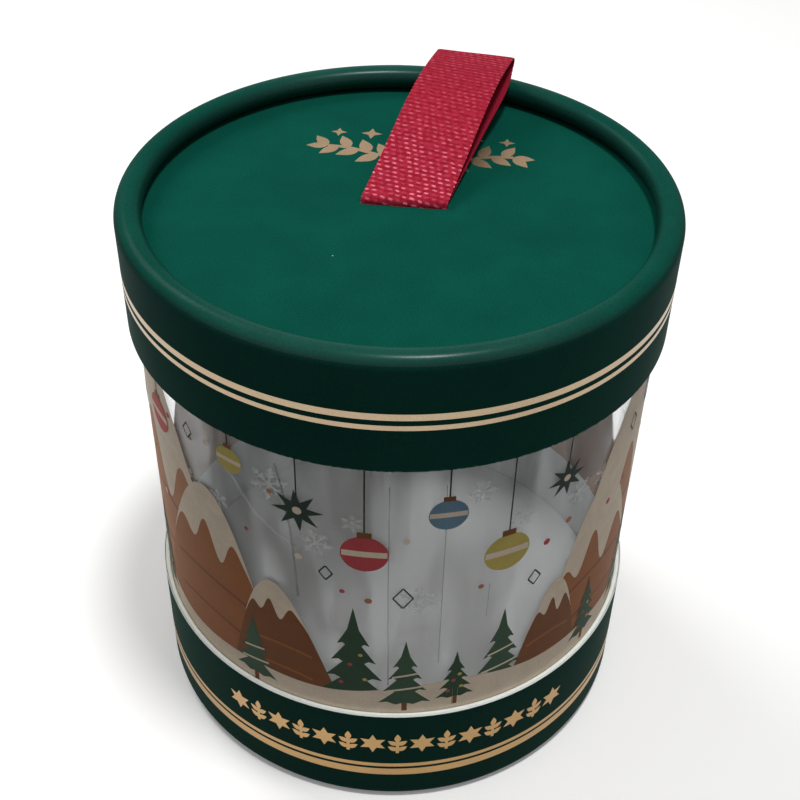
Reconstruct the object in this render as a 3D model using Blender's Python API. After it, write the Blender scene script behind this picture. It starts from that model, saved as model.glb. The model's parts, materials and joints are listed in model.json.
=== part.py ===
"""Round gift box with a window, in metres, standing on z = 0 and centred on the z axis.

A clear rolled sheet stands as a tube in a short paperboard base. A paperboard lid slides down
over the tube. Both paperboard sides end in a rolled rim that traps a flat disc, and a ribbon
loop comes up through a slot in the lid's disc.
"""

import math

import bmesh
import bpy
from mathutils import Vector

# The whole box
BOX_HEIGHT = 0.141
LID_SIDE_HEIGHT = 0.028
BASE_SIDE_HEIGHT = 0.033
SEAT_GAP = 0.0003
GLUE_LINE = 0.0001
CUT_OVERRUN = 0.002
ROUND_STEPS = 64

# The clear sheet, rolled into a tube with a lap seam at the back
WINDOW_RADIUS = 0.0604
WINDOW_SHEET = 0.00035
WINDOW_LAP = 0.006
WINDOW_RAMP = 0.009

# The paperboard sides: board inside, printed wrap outside, both rolled in at one end
SIDE_BOARD = 0.0011
WRAP_PAPER = 0.0002
LID_CLEARANCE = 0.0007
ROLL_RADIUS = 0.003
ROLL_STEPS = 8
ROLL_TURN = math.radians(288)

# The discs held by the rolled rims
DISC_BOARD = 0.0016
FACING_PAPER = 0.0002
LINING_CARD = 0.0004
FLOOR_PAPER = 0.0003

# The ribbon and its slot in the lid
RIBBON_WIDTH = 0.019
RIBBON_THICKNESS = 0.00045
RIBBON_TAIL = 0.024
PLY_GAP = 0.0002
SLOT_X = 0.0009
SLOT_Y = 0.0016
SLOT_YAW = math.radians(-5.3)
SLOT_PLAY = 0.0003
SLOT_CORNER_SHARE = 0.4
RIBBON_LEAN = math.radians(11.4)
RIBBON_SKEW = math.radians(12.5)
FOLD_TILT_SHARE = 0.13
FOLD_RADIUS = 0.0018
FRONT_PLY_BELLY = 0.0031
FRONT_BELLY_POWER = 1.5
BACK_PLY_SAG = 0.0009
BACK_PLY_SHIFT = 0.0009
BACK_SHIFT_POWER = 4
HINGE_RISE = 0.001
ROOT_START = 0.0014
TAIL_BEND = 0.0006
FRONT_STEPS = 10
FOLD_STEPS = 6
BACK_STEPS = 12
TAIL_BEND_STEPS = 4

# Radii that follow
LID_INNER = WINDOW_RADIUS + LID_CLEARANCE
LID_BOARD_OUTER = LID_INNER + SIDE_BOARD
LID_RADIUS = LID_BOARD_OUTER + GLUE_LINE + WRAP_PAPER
BASE_INNER = WINDOW_RADIUS + SEAT_GAP
BASE_BOARD_OUTER = BASE_INNER + SIDE_BOARD
BASE_RADIUS = BASE_BOARD_OUTER + GLUE_LINE + WRAP_PAPER
BOARD_ROLL = ROLL_RADIUS - WRAP_PAPER - GLUE_LINE

# The roll is drawn with ROLL_STEPS flats, and its middle flat is the rim's resting land
ROLL_REACH = ROLL_RADIUS * math.cos(ROLL_TURN / ROLL_STEPS / 2)
RIM_DEPTH = 2 * ROLL_REACH + SEAT_GAP

# Heights that follow, down through the lid's disc
FACING_TOP = BOX_HEIGHT - RIM_DEPTH
LID_BOARD_TOP = FACING_TOP - FACING_PAPER - GLUE_LINE
LID_BOARD_BOTTOM = LID_BOARD_TOP - DISC_BOARD
TAIL_TOP = LID_BOARD_BOTTOM - GLUE_LINE
LINING_TOP = TAIL_TOP - RIBBON_THICKNESS - GLUE_LINE
LINING_BOTTOM = LINING_TOP - LINING_CARD

# Heights that follow, up through the base's disc
UNDERSIDE_TOP = RIM_DEPTH + FACING_PAPER
BASE_BOARD_BOTTOM = UNDERSIDE_TOP + GLUE_LINE
BASE_BOARD_TOP = BASE_BOARD_BOTTOM + DISC_BOARD
FLOOR_BOTTOM = BASE_BOARD_TOP + GLUE_LINE
FLOOR_TOP = FLOOR_BOTTOM + FLOOR_PAPER
WINDOW_BOTTOM = FLOOR_TOP + SEAT_GAP
WINDOW_TOP = LINING_BOTTOM - SEAT_GAP

# The slot's frame: along the slot, square to it in the disc, and straight up
SLOT_ALONG = Vector((math.cos(SLOT_YAW), math.sin(SLOT_YAW), 0))
SLOT_ACROSS = Vector((-math.sin(SLOT_YAW), math.cos(SLOT_YAW), 0))
UP = Vector((0, 0, 1))
HINGE = Vector((SLOT_X, SLOT_Y, FACING_TOP + HINGE_RISE))
RIBBON_REACH = LID_RADIUS - ROLL_RADIUS - SLOT_Y
RIBBON_SPAN = RIBBON_WIDTH / math.cos(RIBBON_SKEW)
PLY_STEP = RIBBON_THICKNESS + PLY_GAP
SLOT_LENGTH = RIBBON_SPAN + 2 * SLOT_PLAY
SLOT_WIDTH = PLY_STEP + RIBBON_THICKNESS + 2 * SLOT_PLAY


def clear_scene():
    """Removes what a new file holds."""
    for thing in list(bpy.data.objects):
        bpy.data.objects.remove(thing, do_unlink=True)


def paint(name, colour, roughness, metallic=0.0, clear_share=0.0):
    """A plain finish: colour, roughness, metal and how much light goes through."""
    material = bpy.data.materials.new(name)
    material.use_nodes = True
    shader = material.node_tree.nodes["Principled BSDF"]
    shader.inputs["Base Color"].default_value = (*colour, 1.0)
    shader.inputs["Roughness"].default_value = roughness
    shader.inputs["Metallic"].default_value = metallic
    shader.inputs["Transmission Weight"].default_value = clear_share
    material.diffuse_color = (*colour, 1.0 - clear_share)
    return material


def place_mesh(name, shape, material, crease=30.0):
    """Makes a named object from a finished bmesh, smooth except at its real edges."""
    bmesh.ops.recalc_face_normals(shape, faces=shape.faces)
    mesh = bpy.data.meshes.new(name)
    shape.to_mesh(mesh)
    shape.free()
    mesh.shade_smooth()
    mesh.set_sharp_from_angle(angle=math.radians(crease))
    mesh.materials.append(material)
    thing = bpy.data.objects.new(name, mesh)
    bpy.context.scene.collection.objects.link(thing)
    return thing


def turned(name, outline, material):
    """Spins a closed outline of (radius, height) points once round the z axis."""
    shape = bmesh.new()
    corners = [shape.verts.new((radius, 0, height)) for radius, height in outline]
    edges = [
        shape.edges.new((corner, corners[(i + 1) % len(corners)]))
        for i, corner in enumerate(corners)
    ]
    bmesh.ops.spin(
        shape,
        geom=corners + edges,
        cent=(0, 0, 0),
        axis=(0, 0, 1),
        angle=math.tau,
        steps=ROUND_STEPS,
        use_merge=True,
    )
    return place_mesh(name, shape, material, crease=50.0)


def disc(name, radius, bottom, top, material):
    """A flat round sheet between two heights."""
    shape = bmesh.new()
    bmesh.ops.create_cone(
        shape,
        cap_ends=True,
        segments=ROUND_STEPS,
        radius1=radius,
        radius2=radius,
        depth=top - bottom,
    )
    bmesh.ops.translate(shape, verts=shape.verts, vec=UP * ((top + bottom) / 2))
    return place_mesh(name, shape, material)


def roll_arc(centre_radius, centre_height, radius, upward):
    """Points round the rolled rim, from the wall's outer side, over the edge and back inside."""
    points = []
    for i in range(ROLL_STEPS + 1):
        turn = ROLL_TURN * i / ROLL_STEPS
        points.append(
            (
                centre_radius + radius * math.cos(turn),
                centre_height + upward * radius * math.sin(turn),
            )
        )
    return points


def rolled_side(name, outer_radius, roll_outer, thickness, cut_edge, rim_edge, material):
    """A thin wall that runs straight from its cut edge and rolls inward at its rim.

    roll_outer is the roll's radius to this layer's outer face.
    """
    upward = 1 if rim_edge > cut_edge else -1
    centre_radius = outer_radius - roll_outer
    centre_height = rim_edge - upward * ROLL_REACH
    outer = roll_arc(centre_radius, centre_height, roll_outer, upward)
    inner = roll_arc(centre_radius, centre_height, roll_outer - thickness, upward)
    outline = [(outer_radius, cut_edge)] + outer
    outline += list(reversed(inner)) + [(outer_radius - thickness, cut_edge)]
    return turned(name, outline, material)


def window_sheet(material):
    """The clear sheet's rolled outline, drawn out to its height.

    The sheet starts at the back, goes once round, steps in by its own thickness and ends under
    its start, so that the two ends lap.
    """
    step = math.tau / ROUND_STEPS
    lap_steps = max(1, round(WINDOW_LAP / (WINDOW_RADIUS * step)))
    ramp = WINDOW_RAMP / WINDOW_RADIUS
    inset = WINDOW_SHEET + GLUE_LINE
    outer, inner = [], []
    for i in range(ROUND_STEPS + lap_steps + 1):
        turn = i * step
        share = min(1.0, max(0.0, (turn - math.tau + ramp) / ramp))
        radius = WINDOW_RADIUS - inset * share * share * (3 - 2 * share)
        angle = math.pi / 2 + turn
        outer.append((radius, angle))
        inner.append((radius - WINDOW_SHEET, angle))
    outline = [
        Vector((radius * math.cos(angle), radius * math.sin(angle), WINDOW_BOTTOM))
        for radius, angle in outer + list(reversed(inner))
    ]
    shape = bmesh.new()
    corners = [shape.verts.new(point) for point in outline]
    last = len(corners) - 1
    quads = [
        shape.faces.new((corners[i], corners[i + 1], corners[last - i - 1], corners[last - i]))
        for i in range(len(outer) - 1)
    ]
    grown = bmesh.ops.extrude_face_region(shape, geom=quads)
    raised = [item for item in grown["geom"] if isinstance(item, bmesh.types.BMVert)]
    bmesh.ops.translate(shape, verts=raised, vec=UP * (WINDOW_TOP - WINDOW_BOTTOM))
    return place_mesh("window_sheet", shape, material)


def slot_cutter():
    """The ribbon slot, cut down through the lid's facing paper and board."""
    shape = bmesh.new()
    bmesh.ops.create_cube(shape, size=1.0)
    top = FACING_TOP + CUT_OVERRUN
    bottom = LID_BOARD_BOTTOM - CUT_OVERRUN
    middle = Vector((SLOT_X, SLOT_Y, (top + bottom) / 2))
    for corner in shape.verts:
        share = corner.co.copy()
        corner.co = middle + SLOT_ALONG * (share.x * SLOT_LENGTH)
        corner.co += SLOT_ACROSS * (share.y * SLOT_WIDTH) + UP * (share.z * (top - bottom))
    uprights = [
        edge for edge in shape.edges if abs(edge.verts[0].co.z - edge.verts[1].co.z) > SLOT_WIDTH
    ]
    bmesh.ops.bevel(
        shape,
        geom=uprights,
        offset=SLOT_WIDTH * SLOT_CORNER_SHARE,
        offset_type="OFFSET",
        segments=3,
        profile=0.5,
        affect="EDGES",
    )
    cutter = place_mesh("slot_cutter", shape, paint("cutter", (0.5, 0.5, 0.5), 0.5))
    cutter.hide_render = True
    cutter.display_type = "WIRE"
    return cutter


def cut_with(thing, cutter):
    """Cuts an opening and leaves the cut on the object as a modifier."""
    cut = thing.modifiers.new("ribbon_slot", "BOOLEAN")
    cut.operation = "DIFFERENCE"
    cut.solver = "EXACT"
    cut.object = cutter


def strip(name, rows, material):
    """A ribbon through rows of (left point, right point), with its thickness by a Solidify."""
    shape = bmesh.new()
    lines = [[shape.verts.new(point) for point in row] for row in rows]
    for near, far in zip(lines, lines[1:]):
        shape.faces.new((near[0], near[1], far[1], far[0]))
    thing = place_mesh(name, shape, material, crease=50.0)
    solid = thing.modifiers.new("thickness", "SOLIDIFY")
    solid.thickness = RIBBON_THICKNESS
    solid.offset = 0
    solid.use_even_offset = True
    return thing


def loop_rows():
    """The ribbon loop: out along the front ply, round the fold and back along the back ply."""
    lean = SLOT_ACROSS * math.cos(RIBBON_LEAN) + UP * math.sin(RIBBON_LEAN)
    along = lean * math.cos(RIBBON_SKEW) + SLOT_ALONG * math.sin(RIBBON_SKEW)
    across = SLOT_ALONG * math.cos(RIBBON_SKEW) - lean * math.sin(RIBBON_SKEW)
    outward = across.cross(along)
    straight = RIBBON_REACH - FOLD_RADIUS
    root_tilt = math.tan(RIBBON_SKEW)
    front_height = PLY_STEP / 2

    def row(distance, height, shift, share):
        tilt = root_tilt + (FOLD_TILT_SHARE - root_tilt) * share
        middle = HINGE + along * distance + outward * height + across * shift
        half = (across + along * tilt) * (RIBBON_WIDTH / 2)
        return (middle - half, middle + half)

    rows = []
    for i in range(FRONT_STEPS):
        share = i / FRONT_STEPS
        belly = FRONT_PLY_BELLY * math.sin(math.pi * share**FRONT_BELLY_POWER)
        distance = ROOT_START + (straight - ROOT_START) * share
        rows.append(row(distance, front_height + belly, 0, share))
    for i in range(FOLD_STEPS + 1):
        turn = math.pi * i / FOLD_STEPS
        distance = straight + FOLD_RADIUS * math.sin(turn)
        height = front_height - FOLD_RADIUS * (1 - math.cos(turn))
        rows.append(row(distance, height, 0, 1))
    for i in range(1, BACK_STEPS + 1):
        share = 1 - i / BACK_STEPS
        drop = PLY_STEP + (2 * FOLD_RADIUS - PLY_STEP) * share
        drop += BACK_PLY_SAG * math.sin(math.pi * share)
        shift = BACK_PLY_SHIFT * math.sin(math.pi * share**BACK_SHIFT_POWER)
        distance = ROOT_START + (straight - ROOT_START) * share
        rows.append(row(distance, front_height - drop, shift, share))
    return rows


def tail_rows(side):
    """A ribbon end: down through the slot, then outward under the lid's board on one side."""
    half = SLOT_ALONG * (RIBBON_SPAN / 2)
    inner = PLY_STEP / 2
    level = TAIL_TOP - RIBBON_THICKNESS / 2
    top = HINGE + UP * GLUE_LINE
    path = [(inner, top.z), (inner, level + TAIL_BEND)]
    for i in range(1, TAIL_BEND_STEPS + 1):
        turn = math.pi / 2 * i / TAIL_BEND_STEPS
        path.append(
            (
                inner + TAIL_BEND * (1 - math.cos(turn)),
                level + TAIL_BEND * (1 - math.sin(turn)),
            )
        )
    path.append((inner + RIBBON_TAIL, level))
    rows = []
    for distance, height in path:
        middle = Vector((SLOT_X, SLOT_Y, height)) + SLOT_ACROSS * (side * distance)
        rows.append((middle - half, middle + half))
    return rows


def lid(board, wrap, facing, lining):
    """The lid's rolled side and the three layers of its disc."""
    rim, edge = BOX_HEIGHT, BOX_HEIGHT - LID_SIDE_HEIGHT
    rolled_side("lid_side_board", LID_BOARD_OUTER, BOARD_ROLL, SIDE_BOARD, edge, rim, board)
    rolled_side("lid_side_wrap", LID_RADIUS, ROLL_RADIUS, WRAP_PAPER, edge, rim, wrap)
    radius = LID_INNER - SEAT_GAP
    sheet = disc("lid_disc_facing", radius, FACING_TOP - FACING_PAPER, FACING_TOP, facing)
    core = disc("lid_disc_board", radius, LID_BOARD_BOTTOM, LID_BOARD_TOP, board)
    disc("lid_disc_lining", radius, LINING_BOTTOM, LINING_TOP, lining)
    cutter = slot_cutter()
    cut_with(sheet, cutter)
    cut_with(core, cutter)


def base(board, wrap, facing, lining):
    """The base's rolled side and the three layers of its disc."""
    edge, rim = BASE_SIDE_HEIGHT, 0
    rolled_side("base_side_board", BASE_BOARD_OUTER, BOARD_ROLL, SIDE_BOARD, edge, rim, board)
    rolled_side("base_side_wrap", BASE_RADIUS, ROLL_RADIUS, WRAP_PAPER, edge, rim, wrap)
    radius = BASE_INNER - SEAT_GAP
    disc("base_underside_paper", radius, RIM_DEPTH, UNDERSIDE_TOP, facing)
    disc("base_disc_board", radius, BASE_BOARD_BOTTOM, BASE_BOARD_TOP, board)
    disc("base_floor_lining", radius, FLOOR_BOTTOM, FLOOR_TOP, lining)


def ribbon(weave):
    """The loop, whose origin is on its hinge line at the slot, and its two glued ends."""
    loop = strip("ribbon_loop", loop_rows(), weave)
    loop.data.transform(loop.matrix_world.Translation(-HINGE))
    loop.location = HINGE
    strip("ribbon_front_tail", tail_rows(-1), weave)
    strip("ribbon_back_tail", tail_rows(1), weave)


def build():
    clear_scene()
    board = paint("white_board", (0.72, 0.72, 0.69), 0.85)
    wrap = paint("green_wrap", (0.006, 0.045, 0.033), 0.42)
    facing = paint("green_facing", (0.006, 0.08, 0.055), 0.5)
    lining = paint("white_lining", (0.6, 0.6, 0.59), 0.8)
    weave = paint("red_ribbon", (0.38, 0.012, 0.03), 0.6)
    clear = paint("clear_sheet", (0.9, 0.92, 0.92), 0.05, clear_share=0.8)
    lid(board, wrap, facing, lining)
    base(board, wrap, facing, lining)
    window_sheet(clear)
    ribbon(weave)


build()
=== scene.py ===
import json
import math
import random

import bmesh
import bpy
from mathutils import Matrix, Vector


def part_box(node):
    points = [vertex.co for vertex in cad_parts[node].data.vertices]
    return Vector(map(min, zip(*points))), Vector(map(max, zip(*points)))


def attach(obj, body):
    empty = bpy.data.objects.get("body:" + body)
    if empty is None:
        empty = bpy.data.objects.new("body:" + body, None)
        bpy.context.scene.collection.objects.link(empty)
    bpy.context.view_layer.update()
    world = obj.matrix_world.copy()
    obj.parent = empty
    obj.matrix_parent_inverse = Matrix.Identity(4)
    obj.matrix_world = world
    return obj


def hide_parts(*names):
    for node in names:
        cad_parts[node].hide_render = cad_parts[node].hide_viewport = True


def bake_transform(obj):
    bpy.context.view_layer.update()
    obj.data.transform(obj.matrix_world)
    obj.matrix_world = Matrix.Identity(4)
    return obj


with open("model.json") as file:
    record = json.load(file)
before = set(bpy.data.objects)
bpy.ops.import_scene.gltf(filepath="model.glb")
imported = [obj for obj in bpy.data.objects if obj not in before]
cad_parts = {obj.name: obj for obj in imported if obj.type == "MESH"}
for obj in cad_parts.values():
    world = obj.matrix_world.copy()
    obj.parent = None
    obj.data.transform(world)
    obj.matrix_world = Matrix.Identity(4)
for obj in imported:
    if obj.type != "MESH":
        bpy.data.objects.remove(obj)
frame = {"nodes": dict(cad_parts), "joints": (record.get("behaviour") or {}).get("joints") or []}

UP = Vector((0, 0, 1))

# Sizes read from the frame, in metres
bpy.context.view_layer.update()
LID_LOW, LID_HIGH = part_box("lid_side_wrap")
BASE_LOW, BASE_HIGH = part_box("base_side_wrap")
SHEET_LOW, SHEET_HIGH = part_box("window_sheet")
LID_RADIUS = LID_HIGH.x
LID_EDGE = LID_LOW.z
LID_TOP = LID_HIGH.z
LID_BOARD_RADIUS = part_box("lid_side_board")[1].x
BASE_RADIUS = BASE_HIGH.x
BASE_EDGE = BASE_HIGH.z
BASE_BOTTOM = BASE_LOW.z
BASE_BOARD_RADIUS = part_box("base_side_board")[1].x
SHEET_RADIUS = SHEET_HIGH.x
DISC_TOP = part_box("lid_disc_facing")[1].z
TAIL_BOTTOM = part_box("ribbon_front_tail")[0].z

# The turned sides, as the frame's source has them
SIDE_BOARD = 0.0011
WRAP_PAPER = 0.0002
GLUE_LINE = 0.0001
ROLL_RADIUS = 0.003
ROLL_FLATNESS_SHARE = 0.951
ROLL_TURN = math.radians(288)
ROLL_STEPS = 36
ROLL_STEPS_OF_WALL = 3
EDGE_ROUND = 0.00025
ROUND_STEPS = 256
SHARP_ANGLE = math.radians(40)
WRAP_LAP = 0.00014
WRAP_LAP_WIDTH = 0.009
WRAP_LAP_EDGE = 0.00002

# The green print on the walls and on the lid's roll, the paper under it, and lint on it. The
# walls are the disc's paper, painted a darker green as painted shade on sides that face away from
# the lamps.
LID_WALL_SHADED = (0.005, 0.036, 0.027)
LID_ROLL = (0.0028, 0.058, 0.041)
BASE_WALL_SHADED = (0.006, 0.034, 0.025)
RUBBED_PAPER = (0.3, 0.36, 0.32)
LINT = (0.35, 0.4, 0.38)

# The clear sheet's lap at the back
SHEET_THICKNESS = 0.00035
SHEET_LAP = 0.006
SHEET_RAMP = 0.009

# The ribbon and its slot, as the frame's source has them
RIBBON_WIDTH = 0.019
RIBBON_THICKNESS = 0.00045
PLY_STEP = 0.00065
RIBBON_LEAN = math.radians(11.4)
RIBBON_SKEW = math.radians(12.5)
FOLD_TILT_SHARE = 0.13
FOLD_RADIUS = 0.0018
FRONT_PLY_BELLY = 0.0031
FRONT_BELLY_POWER = 1.5
BACK_PLY_SAG = 0.0009
BACK_PLY_SHIFT = 0.0009
BACK_SHIFT_POWER = 4
TAIL_REACH = 0.024
TAIL_BEND = 0.0006
FRONT_ROOT_BEND = 0.0012
BACK_ROOT_BEND = 0.00045
PLY_STEPS = 60
FOLD_STEPS = 16
BEND_STEPS = 8
RIB_PITCH = 0.00133
RIB_HEIGHT = 0.000022
RIB_WANDER = 0.00009
RIB_WAVES = ((1500, 520), (2900, -810))
SELVEDGE_FROM = 0.94
SELVEDGE_SHARE = 0.06
ROWS_IN_A_RIB = 8
RIBBON_COLUMNS = 28

# Along the ribbon from its glued front end: where its painted glints fade out, where the weave
# turns smooth at the fold, and where its red is painted darker on the way there, as painted shade
GLINT_FADE_FROM = 0.036
GLINT_FADE_TO = 0.06
SMOOTH_FROM = 0.083
SMOOTH_TO = 0.088
FOLD_SHADE_FROM = 0.05
FOLD_SHADE_TO = 0.078

# The ribbon's reds: painted shade between its ribs, its own red on them, painted shade at the
# fold and near it, and a painted glint where a thread catches the light
RIBBON_GROOVE_SHADE = (0.29, 0.01, 0.026)
RIBBON_BODY = (0.4, 0.022, 0.046)
RIBBON_FOLD_SHADE = (0.3, 0.0128, 0.032)
RIBBON_NEAR_FOLD_SHADE = (0.2, 0.008, 0.02)
RIBBON_GLINT = (0.88, 0.24, 0.32)

# Foil lines on the two sides: lower and upper height of each
LID_LINES = ((0.1239, 0.1251), (0.1264, 0.128))
BASE_LINES = ((0.0095, 0.012), (0.0129, 0.0142))
FOIL_RISE = 0.00002
INK_LAYER = 0.00003
DECAL_STEP = 0.00125

# Stamped row on the base: its stars, the row's middle, height and pitch
BASE_STARS = 8
BASE_ROW_MIDDLE = 0.0022
BASE_ROW_LEVEL = 0.0222
BASE_ROW_PITCH = 0.0121

# The rolled rim's gloss, and where it turns matt, going aside from the middle
RIM_POLISH = 0.22
POLISH_FROM = 0.02
POLISH_TO = 0.052
SIDE_POLISH_SHARE = 0.2

# Print on the clear sheet: the ground line and the clear margin at the lap
PRINT_FOOT = 0.03
GROUND_LEVEL = 0.0405
LAP_MARGIN = 0.011
PRINT_EDGE = math.pi * SHEET_RADIUS - LAP_MARGIN
HILL_ROUNDNESS = 1.25
STRING_MARGIN = 0.002

# Its inks lie in layers, in steps of INK_LAYER above the sheet. An OVER or UNDER value is counted
# from the layer of what it trims.
FLAKE_LAYER = -0.4
HILL_LAYERS = {"orange": 0.0, "rust": 1.1, "umber": 2.2}
BAND_OVER_HILL = 0.5
CAP_OVER_HILL = 0.8
DOT_LAYER = 3.15
GROUND_LAYER = 3.3
STRING_LAYER = 3.4
DIAMOND_LAYER = 3.65
BAUBLE_LAYER = 3.9
DETAIL_LAYER = 4.2
TRIM_OVER_TREE = 0.3
TRUNK_UNDER_TREE = 0.1
TIER_OVER_TIER = 0.02

# The print's inks, by name
PRINT_INKS = {
    "cream": (0.78, 0.66, 0.52),
    "rust": (0.34, 0.13, 0.05),
    "umber": (0.2, 0.08, 0.035),
    "fir": (0.035, 0.07, 0.042),
    "pine": (0.055, 0.1, 0.062),
    "orange": (0.42, 0.19, 0.09),
    "yellow": (0.54, 0.44, 0.13),
    "red": (0.5, 0.08, 0.09),
    "blue": (0.16, 0.27, 0.36),
    "dark": (0.028, 0.045, 0.035),
}

# Hills: middle, half width, top, lean, ink, and the share of the height that lies under snow
HILLS = (
    (-0.074, 0.043, 0.116, 0.004, "orange", 0.62),
    (-0.05, 0.027, 0.09, 0.004, "rust", 0.46),
    (-0.026, 0.017, 0.071, -0.002, "umber", 0.36),
    (0.075, 0.044, 0.115, -0.004, "orange", 0.72),
    (0.059, 0.027, 0.088, -0.004, "rust", 0.62),
    (0.04, 0.013, 0.066, 0.001, "umber", 0.4),
    (0.118, 0.024, 0.074, 0.003, "umber", 0.4),
    (-0.118, 0.024, 0.072, 0.002, "rust", 0.4),
    (0.15, 0.022, 0.08, -0.003, "rust", 0.5),
    (-0.15, 0.024, 0.082, 0.003, "umber", 0.5),
)
HILL_STEPS = 30
CAP_STEPS = 40
CAP_DRIPS = 3
CAP_OVERLAP = 0.0004
BAND_SHARES = (0.5, 0.3)
BAND_WIDTH = 0.0009
BAND_STEPS = 14

# The ground's rolling top: height, waves per metre as radians, and start of each swell
GROUND_SWELLS = ((0.0022, 52, 0.6), (0.0009, 131, 0.0))
GROUND_STEPS = 160

# Conifers: middle, foot, width, height, ink, layer
CONIFERS = (
    (-0.0085, 0.0385, 0.0165, 0.031, "fir", 2.6),
    (0.0035, 0.0365, 0.0125, 0.0225, "pine", 3.6),
    (0.0155, 0.0372, 0.0095, 0.0165, "fir", 3.4),
    (0.0265, 0.038, 0.014, 0.0265, "pine", 2.6),
    (-0.034, 0.0355, 0.012, 0.021, "pine", 3.6),
    (0.0545, 0.037, 0.0115, 0.02, "fir", 3.6),
    (0.075, 0.036, 0.015, 0.028, "pine", 3.6),
    (0.089, 0.038, 0.012, 0.021, "fir", 2.6),
    (0.122, 0.037, 0.014, 0.027, "fir", 3.6),
    (0.134, 0.036, 0.01, 0.018, "pine", 3.7),
    (-0.075, 0.037, 0.015, 0.027, "fir", 3.6),
    (-0.086, 0.036, 0.01, 0.018, "pine", 3.7),
    (-0.122, 0.038, 0.015, 0.03, "pine", 3.6),
    (-0.134, 0.036, 0.011, 0.019, "fir", 3.7),
)
TRUNK_BELOW_FOOT = 0.003
TRUNK_HEIGHT = 0.005
TRUNK_WIDTH = 0.0013
BERRY_SIZE = 0.0011
BERRY_PLACES = ((-0.18, 0.14), (0.16, 0.2), (-0.05, 0.36), (0.1, 0.48))
ROPE_SHARES = (0.2, 0.42)
ROPE_WIDTH = 0.0006

# What hangs in the sky: middle, height of its centre, size, ink, kind
HANGING = (
    (-0.0205, 0.0965, 0.0098, "dark", "star"),
    (-0.006, 0.087, 0.0105, "red", "bauble"),
    (0.0115, 0.0985, 0.0085, "blue", "bauble"),
    (0.0255, 0.0835, 0.011, "yellow", "bauble"),
    (0.0395, 0.099, 0.0085, "dark", "star"),
    (-0.037, 0.1035, 0.007, "yellow", "bauble"),
    (-0.064, 0.099, 0.0095, "red", "bauble"),
    (-0.082, 0.092, 0.0085, "dark", "star"),
    (-0.104, 0.1, 0.0095, "yellow", "bauble"),
    (-0.124, 0.096, 0.0095, "blue", "bauble"),
    (-0.158, 0.101, 0.008, "dark", "star"),
    (0.078, 0.101, 0.0095, "blue", "bauble"),
    (0.095, 0.094, 0.009, "dark", "star"),
    (0.121, 0.098, 0.01, "red", "bauble"),
    (0.14, 0.103, 0.0075, "yellow", "bauble"),
    (0.162, 0.1, 0.009, "dark", "star"),
)
STRING_WIDTH = 0.00035

# Diamonds: middle, height of the centre, half height
DIAMONDS = (
    (0.0025, 0.0735, 0.0032),
    (-0.0145, 0.0795, 0.0022),
    (0.0335, 0.0715, 0.0024),
    (0.066, 0.098, 0.0026),
    (-0.05, 0.104, 0.0022),
    (0.11, 0.0895, 0.0028),
    (-0.092, 0.0855, 0.0026),
    (-0.14, 0.0965, 0.0026),
    (0.152, 0.0925, 0.0024),
)
DIAMOND_LINE = 0.0004
DIAMOND_SLIMNESS = 0.7

# Scattered dots and snowflakes
SCATTER_SEED = 11
DOT_COUNT = 46
DOT_STRAY = 0.0015
FLAKE_COUNT = 30
FLAKE_STRAY = 0.003
FLAKE_ARM_SHARE = 0.13

# Creases of the clear sheet, as strokes of painted shade (finish 0) and painted glint (finish 1):
# finish, width, and (distance right of the front, height) points
CREASES = (
    (0, 0.0003, ((-0.0009, 0.107), (-0.0008, 0.0917), (-0.0008, 0.0729), (-0.0004, 0.043))),
    (0, 0.00025, ((0.0108, 0.107), (0.0111, 0.0993), (0.0111, 0.0721), (0.0111, 0.0503))),
    (0, 0.00025, ((0.022, 0.0747), (0.0218, 0.0634))),
    (0, 0.0006, (
        (-0.0251, 0.108), (-0.0237, 0.1011), (-0.0223, 0.0899),
        (-0.0216, 0.0793), (-0.0212, 0.0694),
    )),
    (1, 0.0011, (
        (-0.0379, 0.1011), (-0.0345, 0.096), (-0.0306, 0.0912),
        (-0.026, 0.0877), (-0.0211, 0.0855),
    )),
)

# Camera at the photograph's angle
CAMERA_PLACE = (0.0, -0.24371, 0.2834)
CAMERA_PITCH = 0.69721
CAMERA_YAW = 0.00429
CAMERA_ROLL = -0.02412
CAMERA_LENS = 56.88
CAMERA_SENSOR = 36.0

# Studio: place in metres, size and power of each soft lamp, and the light of the pale surround
STUDIO_LAMPS = (
    ("key_lamp", (0.12, -0.14, 1.2), 0.17, 7.2),
    ("back_lamp", (-0.62, 0.62, 0.85), 0.5, 5.0),
)
SURROUND_LIGHT = 0.33
FLOOR_BOUNCE = (0.15, 0.145, 0.14)
FLOOR_LIFT = 0.1


def grow_group(name, inputs, outputs):
    """A shader node group, with the sockets of its named inputs and outputs inside it."""
    group = bpy.data.node_groups.new(name, "ShaderNodeTree")
    for label, value in inputs:
        socket = group.interface.new_socket(label, in_out="INPUT", socket_type="NodeSocketFloat")
        socket.default_value = value
    for label in outputs:
        group.interface.new_socket(label, in_out="OUTPUT", socket_type="NodeSocketFloat")
    given = add(group, "NodeGroupInput").outputs
    results = add(group, "NodeGroupOutput").inputs
    return group, given, results


def add(tree, kind, **settings):
    """Adds a node with its settings."""
    made = tree.nodes.new(kind)
    for key, value in settings.items():
        setattr(made, key, value)
    return made


def calculate(tree, operation, first, second=None, third=None):
    """A Math node; each operand is a socket or a number. Returns the result's socket."""
    made = add(tree, "ShaderNodeMath", operation=operation)
    for i, operand in enumerate((first, second, third)):
        if operand is None:
            continue
        if isinstance(operand, (int, float)):
            made.inputs[i].default_value = operand
        else:
            tree.links.new(operand, made.inputs[i])
    return made.outputs[0]


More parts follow.
